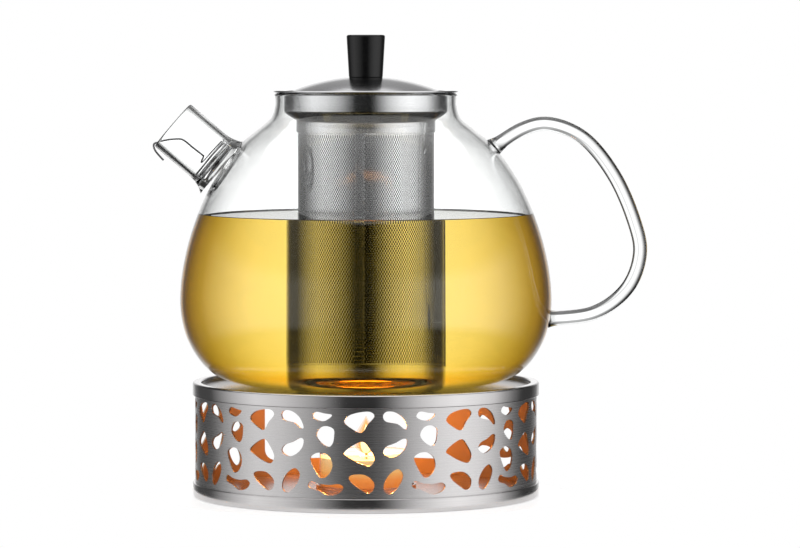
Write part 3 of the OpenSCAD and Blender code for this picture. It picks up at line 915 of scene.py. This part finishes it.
# %% Laying out the holes
HOLES_ROUND = 176
PANELS = 4
HOLE_R = 0.25
HOLES_LOW = basket_low.z + 0.9
HOLES_TOP = collar_low.z - 0.6
PITCH = math.tau * BASKET_R / HOLES_ROUND
ROW = PITCH * 0.87
ROWS = 2 * int((HOLES_TOP - HOLES_LOW) / ROW / 2)


def hexagon(radius_x, radius_y):
    """Six corners with a point at the top and at the bottom."""
    corners = [(0, 2), (-1, 1), (-1, -1), (0, -2), (1, -1), (1, 1)]
    return [Vector((x * radius_x, y * radius_y, 0)) for x, y in corners]


def ring_cell(bm):
    """The six faces between a hole and the border of its cell. hole_edge is 1 at the hole."""
    hole_edge = bm.verts.layers.float.new("hole_edge")
    hole = [bm.verts.new(p) for p in hexagon(HOLE_R * 0.866, HOLE_R / 2)]
    for vert in hole:
        vert[hole_edge] = 1
    border = [bm.verts.new(p) for p in hexagon(PITCH / 2, ROW / 3)]
    edges = []
    for corners in (hole, border):
        edges += [bm.edges.new(pair) for pair in zip(corners, corners[1:] + corners[:1])]
    bmesh.ops.bridge_loops(bm, edges=edges)
    return bm.verts[:] + bm.edges[:] + bm.faces[:]


def copy_along(bm, geometry, step, count):
    """Copies geometry so that there are count of it, each a step from the last."""
    made = list(geometry)
    done = 1
    while done < count:
        batch = min(done, count - done)
        source = made if batch == done else made[:len(made) // done * batch]
        copied = bmesh.ops.duplicate(bm, geom=source)["geom"]
        verts = [g for g in copied if isinstance(g, bmesh.types.BMVert)]
        bmesh.ops.translate(bm, vec=step * done, verts=verts)
        made += copied
        done += batch
    return made


def basket_panel(number):
    columns = HOLES_ROUND // PANELS
    bm = bmesh.new()
    single = ring_cell(bm)
    first = copy_along(bm, single, Vector((PITCH, 0, 0)), columns)
    copied = bmesh.ops.duplicate(bm, geom=first)["geom"]
    second = [g for g in copied if isinstance(g, bmesh.types.BMVert)]
    bmesh.ops.translate(bm, vec=(PITCH / 2, ROW, 0), verts=second)
    pair = bm.verts[:] + bm.edges[:] + bm.faces[:]
    for i in range(1, ROWS // 2):
        copied = bmesh.ops.duplicate(bm, geom=pair)["geom"]
        verts = [g for g in copied if isinstance(g, bmesh.types.BMVert)]
        bmesh.ops.translate(bm, vec=(0, 2 * ROW * i, 0), verts=verts)
    bmesh.ops.remove_doubles(bm, verts=bm.verts, dist=0.01)
    close_edge(bm, 0, HOLES_LOW - basket_low.z, lowest=True)
    close_edge(bm, (ROWS - 1) * ROW, basket_high.z - HOLES_LOW, lowest=False)
    bmesh.ops.recalc_face_normals(bm, faces=bm.faces)
    outer_turn = math.tau / PANELS * number
    for vert in bm.verts:
        turn = outer_turn + vert.co.x / BASKET_R
        vert.co = Vector((BASKET_R * math.sin(turn), -BASKET_R * math.cos(turn), HOLES_LOW + vert.co.y))
    face = bm.faces[:][0]
    middle = face.calc_center_median()
    if face.normal.dot(Vector((middle.x, middle.y, 0))) < 0:
        bmesh.ops.reverse_faces(bm, faces=bm.faces[:])
    bmesh.ops.solidify(bm, geom=bm.faces[:], thickness=BASKET_SHEET)
    return finish_piece(bm, "infuser_mesh_%d" % (number + 1), sharp=40)


def close_edge(bm, row_y, distance, lowest):
    """Draws the zigzag border of the last row out to a straight edge."""
    sign = -1 if lowest else 1
    reach = ROW / 3 * 0.9
    edges = [e for e in bm.edges if len(e.link_faces) == 1
             and all(sign * (v.co.y - row_y) > reach for v in e.verts)]
    made = bmesh.ops.extrude_edge_only(bm, edges=edges)["geom"]
    for vert in [g for g in made if isinstance(g, bmesh.types.BMVert)]:
        vert.co.y = -distance if lowest else distance


panels = [basket_panel(number) for number in range(PANELS)]
punched_steel = steel("punched_steel", (0.95, 0.95, 0.955), 0.11, 0.04, 3200, 0.000004, INNER_PAINTED_SHADE, shade_at_holes=True)
for number, panel in enumerate(panels):
    dress(panel, punched_steel)
    replaced = ["infuser_basket"] if number == 0 else []
    stand_for(panel, "infuser", "infuser_steel", *replaced)
print("holes in the basket:", ROWS * HOLES_ROUND)
count_faces(panels[0])

# %% [markdown]
# ## The lid
#
# The dome is a shallow cap of a large sphere, spun from sheet, with its edge turned so that no
# sharp rim is left. The knob is moulded plastic, wider at its top, and polished. A washer and a
# screw hold it from below.

# %% The dome, the skirt and the knob
dome_high = span("lid_dome")[1]
knob_low, knob_high = span("lid_knob")
DOME_R = dome_high.x
DOME_SPHERE_R = 80.5
LID_SHEET = 0.6
SCREW_HOLE_R = 2.05
dome_mid = dome_high.z - math.sqrt(DOME_SPHERE_R ** 2 - SCREW_HOLE_R ** 2)
KNOB_R = knob_high.x
KNOB_FOOT_R = KNOB_R * 0.88
KNOB_EDGE = 0.8
KNOB_DISH = 0.12
KNOB_BORE = 9.8


def on_sphere(radius, size):
    """Degrees above level at which a sphere of that size has that radius."""
    return math.degrees(math.acos(radius / size))


def dome():
    inner_size = DOME_SPHERE_R - LID_SHEET
    edge = on_sphere(DOME_R - 0.15, DOME_SPHERE_R)
    inner_edge = on_sphere(DOME_R - 0.3, inner_size)
    outer = arc((0, dome_mid), DOME_SPHERE_R, edge, on_sphere(SCREW_HOLE_R, DOME_SPHERE_R), 48)
    inner = arc((0, dome_mid), inner_size, on_sphere(SCREW_HOLE_R, inner_size), inner_edge, 48)
    low = inner[-1][1]
    turned = [(DOME_R - 0.05, low + 0.12), (DOME_R, low + 0.3), (DOME_R, outer[0][1] - 0.12)]
    return lathe(outer + inner + turned, "lid_dome_spun", 224)


def knob():
    top = knob_high.z
    foot = knob_low.z
    outline = [(SCREW_HOLE_R, foot), (KNOB_FOOT_R - 0.3, foot), (KNOB_FOOT_R, foot + 0.2)]
    outline += arc((KNOB_R - KNOB_EDGE, top - KNOB_EDGE), KNOB_EDGE, 0, 90, 10)
    outline += [(KNOB_R * 0.8, top), (KNOB_R * 0.76, top - KNOB_DISH), (0, top - KNOB_DISH)]
    outline += [(0, foot + KNOB_BORE), (SCREW_HOLE_R, foot + KNOB_BORE)]
    return lathe(outline, "lid_knob_moulded", 128)


def black_plastic():
    material, tree, shader = new_material("knob_plastic", {"Roughness": 0.14, "IOR": 1.4})
    grain = noise(tree, 900.0, 2.0)
    tint = ramp(tree, [(0.3, (0.004, 0.004, 0.0045, 1)), (0.7, (0.008, 0.008, 0.008, 1))], grain)
    tree.links.new(tint, shader.inputs["Base Color"])
    relief(tree, shader, grain, 0.1, 0.00001)
    return material


lid = stand_for(dome(), "lid", "lid_steel", "lid_dome")
dress(lid, LID_STEEL)
grip = stand_for(knob(), "lid", "knob_plastic", "lid_knob")
dress(grip, black_plastic())
dress(nodes["lid_skirt"], LID_STEEL)
dress(nodes["knob_washer"], WIRE_STEEL)
dress(nodes["knob_screw"], WIRE_STEEL)
count_faces(lid, grip)

# %% [markdown]
# ## The spout's filter
#
# One length of steel wire: a coil that grips the foot of the spout and keeps leaves back, a stem up
# the middle, and a hook over the lip that it is pulled out by.

# %% The bent wire
WIRE_R = 0.4
COIL_TURNS = 4.25
COIL_PITCH = 1.7
COIL_START = -27
COIL_R = SPOUT_BORE_R - 0.45 - WIRE_R
WIRE_HOOK = [
    (-1.4, -16.5), (-1.6, -12), (-1.7, -8.2), (-2.6, -6.2), (-5.4, -3.4), (-8.2, -1.2),
    (-9.6, 0.2), (-10.6, 0.7), (-11.6, 0.3), (-12.4, -1), (-12.9, -2.8), (-13.4, -6.6),
]


def wire_line():
    steps = round(COIL_TURNS * 40)
    line = []
    for i in range(steps + 1):
        turn = math.tau * i / 40
        height = COIL_START + COIL_PITCH * i / 40
        line.append(Vector((COIL_R * math.cos(turn), COIL_R * math.sin(turn), height)))
    top = line[-1].z
    for i in range(1, 17):
        s = i / 16
        turn = math.radians(90 + 90 * s)
        radius = COIL_R + (1.4 - COIL_R) * s ** 1.4
        line.append(Vector((radius * math.cos(turn), radius * math.sin(turn), top + 1.6 * s ** 2)))
    return line + [Vector((p.x, 0, p.y)) for p in through(WIRE_HOOK, 6)]


wire_points = wire_line()
wire = sweep([spout_place @ p for p in wire_points], [WIRE_R] * len(wire_points), 12, "filter_wire")
stand_for(wire, "filter", "wire_steel", "spout_filter")
dress(wire, WIRE_STEEL)
count_faces(wire)

# %% [markdown]
# ## The tealight
#
# A clear cup holds the wax, and the wax has a painted glow: it gives off light of its own, standing
# in for light from the flame that goes down into it and comes out at the sides, pale near the flame
# and deeper orange at the foot. The top is a pool of melted wax.
# The flame itself is four nested shapes that give light: a white core in three thin orange veils,
# each fainter than the one inside it.

# %% The cup, the wax and the wick
light_low, light_high = span("tealight_cup")
wax_low, wax_high = span("tealight_wax")
wick_low, wick_high = span("tealight_wick")
CUP_OUT_R = 19
CUP_WALL = 0.3
WAX_R = wax_high.x
WICK_R = wick_high.x
POOL_DEPTH = 0.9
POOL_EDGE = 2.4


def candle_cup():
    low, top = light_low.z, light_high.z
    outline = [(0, low)] + arc((CUP_OUT_R - 0.6, low + 0.6), 0.6, -90, 0, 6)
    outline += arc((CUP_OUT_R, top - CUP_WALL), CUP_WALL, -60, 90, 8)
    outline += [(WAX_R, top), (WAX_R, low + CUP_WALL), (0, low + CUP_WALL)]
    return lathe(outline, "candle_cup", 128, closed=False)


def candle_wax():
    low, top = wax_low.z, wax_high.z
    shares = [s / 6 for s in range(7)]
    pool = [(WAX_R - 0.1 - POOL_EDGE * s, top - POOL_DEPTH * math.sin(math.pi / 2 * s)) for s in shares]
    outline = [(0, low + 0.02), (WAX_R - 0.02, low + 0.02), (WAX_R - 0.02, top)]
    outline += pool + [(0, top - POOL_DEPTH)]
    return lathe(outline, "candle_wax", 128, closed=False)


def candle_wick():
    base, tip = wick_low.z, wick_high.z
    line = [Vector((0.25 * (s / 12) ** 2, 0, base + 0.3 + (tip - base - 0.3) * s / 12)) for s in range(13)]
    radii = [WICK_R * (0.85 + 0.12 * math.sin(3.1 * s)) * (1 if s < 11 else 0.6) for s in range(13)]
    return sweep(line, radii, 16, "candle_wick")


def clear_plastic():
    values = {"Transmission Weight": 1.0, "IOR": 1.45}
    material, tree, shader = new_material("clear_plastic", values)
    rough = add(tree, "ShaderNodeMapRange", in_1=0.3, in_2=0.7, in_3=0.02, in_4=0.09)
    tree.links.new(noise(tree, 300.0, 2.0), rough.inputs[0])
    tree.links.new(rough.outputs[0], shader.inputs["Roughness"])
    return material


def height_share(tree, low, high):
    """0 at the height low and 1 at the height high, both in millimetres."""
    place = add(tree, "ShaderNodeTexCoord").outputs["Object"]
    split = add(tree, "ShaderNodeSeparateXYZ")
    tree.links.new(place, split.inputs[0])
    share = add(tree, "ShaderNodeMapRange", in_1=low * MM, in_2=high * MM, in_3=0.0, in_4=1.0)
    tree.links.new(split.outputs[2], share.inputs[0])
    return share.outputs[0]


def wax_with_painted_glow():
    # Painted glow: the wax gives off light of its own, deep orange at its foot and pale at its top, standing
    # in for the flame's light carried through it.
    material, tree, shader = new_material("wax", {"Roughness": 0.45, "Emission Strength": 0.75})
    share = height_share(tree, wax_low.z, wax_high.z)
    glow = ramp(tree, [(0.0, (0.80, 0.16, 0.01, 1)), (0.4, (1.0, 0.30, 0.03, 1)),
                       (0.62, (1.0, 0.55, 0.16, 1)), (1.0, (1.0, 0.74, 0.34, 1))], share)
    tree.links.new(glow, shader.inputs["Emission Color"])
    cloud = noise(tree, 180.0, 3.0)
    tint = ramp(tree, [(0.3, (0.9, 0.82, 0.68, 1)), (0.7, (0.97, 0.92, 0.82, 1))], cloud)
    tree.links.new(tint, shader.inputs["Base Color"])
    return material


def charred_cotton():
    material, tree, shader = new_material("wick", {"Roughness": 0.9})
    share = height_share(tree, wick_low.z, wick_high.z)
    colour = ramp(tree, [(0.6, (0.75, 0.68, 0.55, 1)), (0.78, (0.05, 0.035, 0.03, 1)),
                         (1.0, (0.02, 0.015, 0.01, 1))], share)
    tree.links.new(colour, shader.inputs["Base Color"])
    return material


cup = stand_for(candle_cup(), "tealight", "clear_plastic", "tealight_cup")
dress(cup, clear_plastic())
wax = stand_for(candle_wax(), "tealight", "wax", "tealight_wax")
dress(wax, wax_with_painted_glow())
wick = stand_for(candle_wick(), "tealight", "wick", "tealight_wick")
dress(wick, charred_cotton())
dress(nodes["wick_sustainer"], TIN)
count_faces(cup, wax, wick)

# %% The flame
FLAME_LOW = wick_high.z - 4.2
FLAME_H = 16
FLAME_R = 5.2


def flame_shape(name, width, height):
    """A drop that is widest a third of the way up."""
    outline = [(0, FLAME_LOW)]
    for i in range(1, 24):
        s = i / 24
        outline.append((width * math.sin(math.pi * s ** 0.62) ** 1.15, FLAME_LOW + height * s))
    return lathe(outline + [(0, FLAME_LOW + height)], name, 48, closed=False)


def flame_light(name, low_colour, top_colour, strength, cover):
    """Gives light and lets what is behind it show through."""
    material, tree = empty_material(name)
    share = height_share(tree, FLAME_LOW, FLAME_LOW + FLAME_H)
    glow = add(tree, "ShaderNodeEmission")
    glow.inputs["Strength"].default_value = strength
    tree.links.new(ramp(tree, [(0.0, low_colour), (1.0, top_colour)], share), glow.inputs["Color"])
    clear = add(tree, "ShaderNodeBsdfTransparent")
    mixed = add(tree, "ShaderNodeMixShader")
    mixed.inputs[0].default_value = cover
    tree.links.new(clear.outputs[0], mixed.inputs[1])
    tree.links.new(glow.outputs[0], mixed.inputs[2])
    out = add(tree, "ShaderNodeOutputMaterial")
    tree.links.new(mixed.outputs[0], out.inputs["Surface"])
    return material


core = stand_for(flame_shape("flame_core", FLAME_R * 0.42, FLAME_H * 0.78), "tealight", None)
dress(core, flame_light("flame_core", (1.0, 0.66, 0.28, 1), (1.0, 0.88, 0.6, 1), 6.0, 0.9))
# Each veil is (name, share of the width, share of the height, how much it covers)
VEILS = [
    ("flame_veil_1", 0.6, 0.88, 0.45),
    ("flame_veil_2", 0.8, 0.95, 0.3),
    ("flame_veil_3", 1.0, 1.0, 0.18),
]
veils = []
for name, width, height, cover in VEILS:
    veil = stand_for(flame_shape(name, FLAME_R * width, FLAME_H * height), "tealight", None)
    dress(veil, flame_light(name, (1.0, 0.34, 0.04, 1), (1.0, 0.4, 0.07, 1), 1.3, cover))
    veils.append(veil)

candle_light = bpy.data.lights.new("candle_light", "POINT")
candle_light.energy = 1.3
candle_light.color = (1.0, 0.40, 0.10)
candle_light.shadow_soft_size = 0.003
lamp = bpy.data.objects.new("candle_light", candle_light)
bpy.context.collection.objects.link(lamp)
lamp.location = (0, 0, (FLAME_LOW + FLAME_H * 0.45) * MM)
lamp.parent = core
count_faces(core, *veils)

# %% [markdown]
# ## The floor
#
# A plain white table. It gives off nearly as much light as the white behind it, so its edge can't
# be seen, and it still darkens softly where the warmer stands on it.

# %% The floor
FLOOR_R = 84


def white_table():
    values = {"Base Color": (0.86, 0.86, 0.86, 1), "Roughness": 0.5, "Emission Color": WHITE,
              "Emission Strength": 0.42}
    return new_material("white_table", values)[0]


bm = bmesh.new()
bmesh.ops.create_circle(bm, cap_ends=True, segments=96, radius=FLOOR_R)
table = finish_piece(bm, "table")
dress(table, white_table())
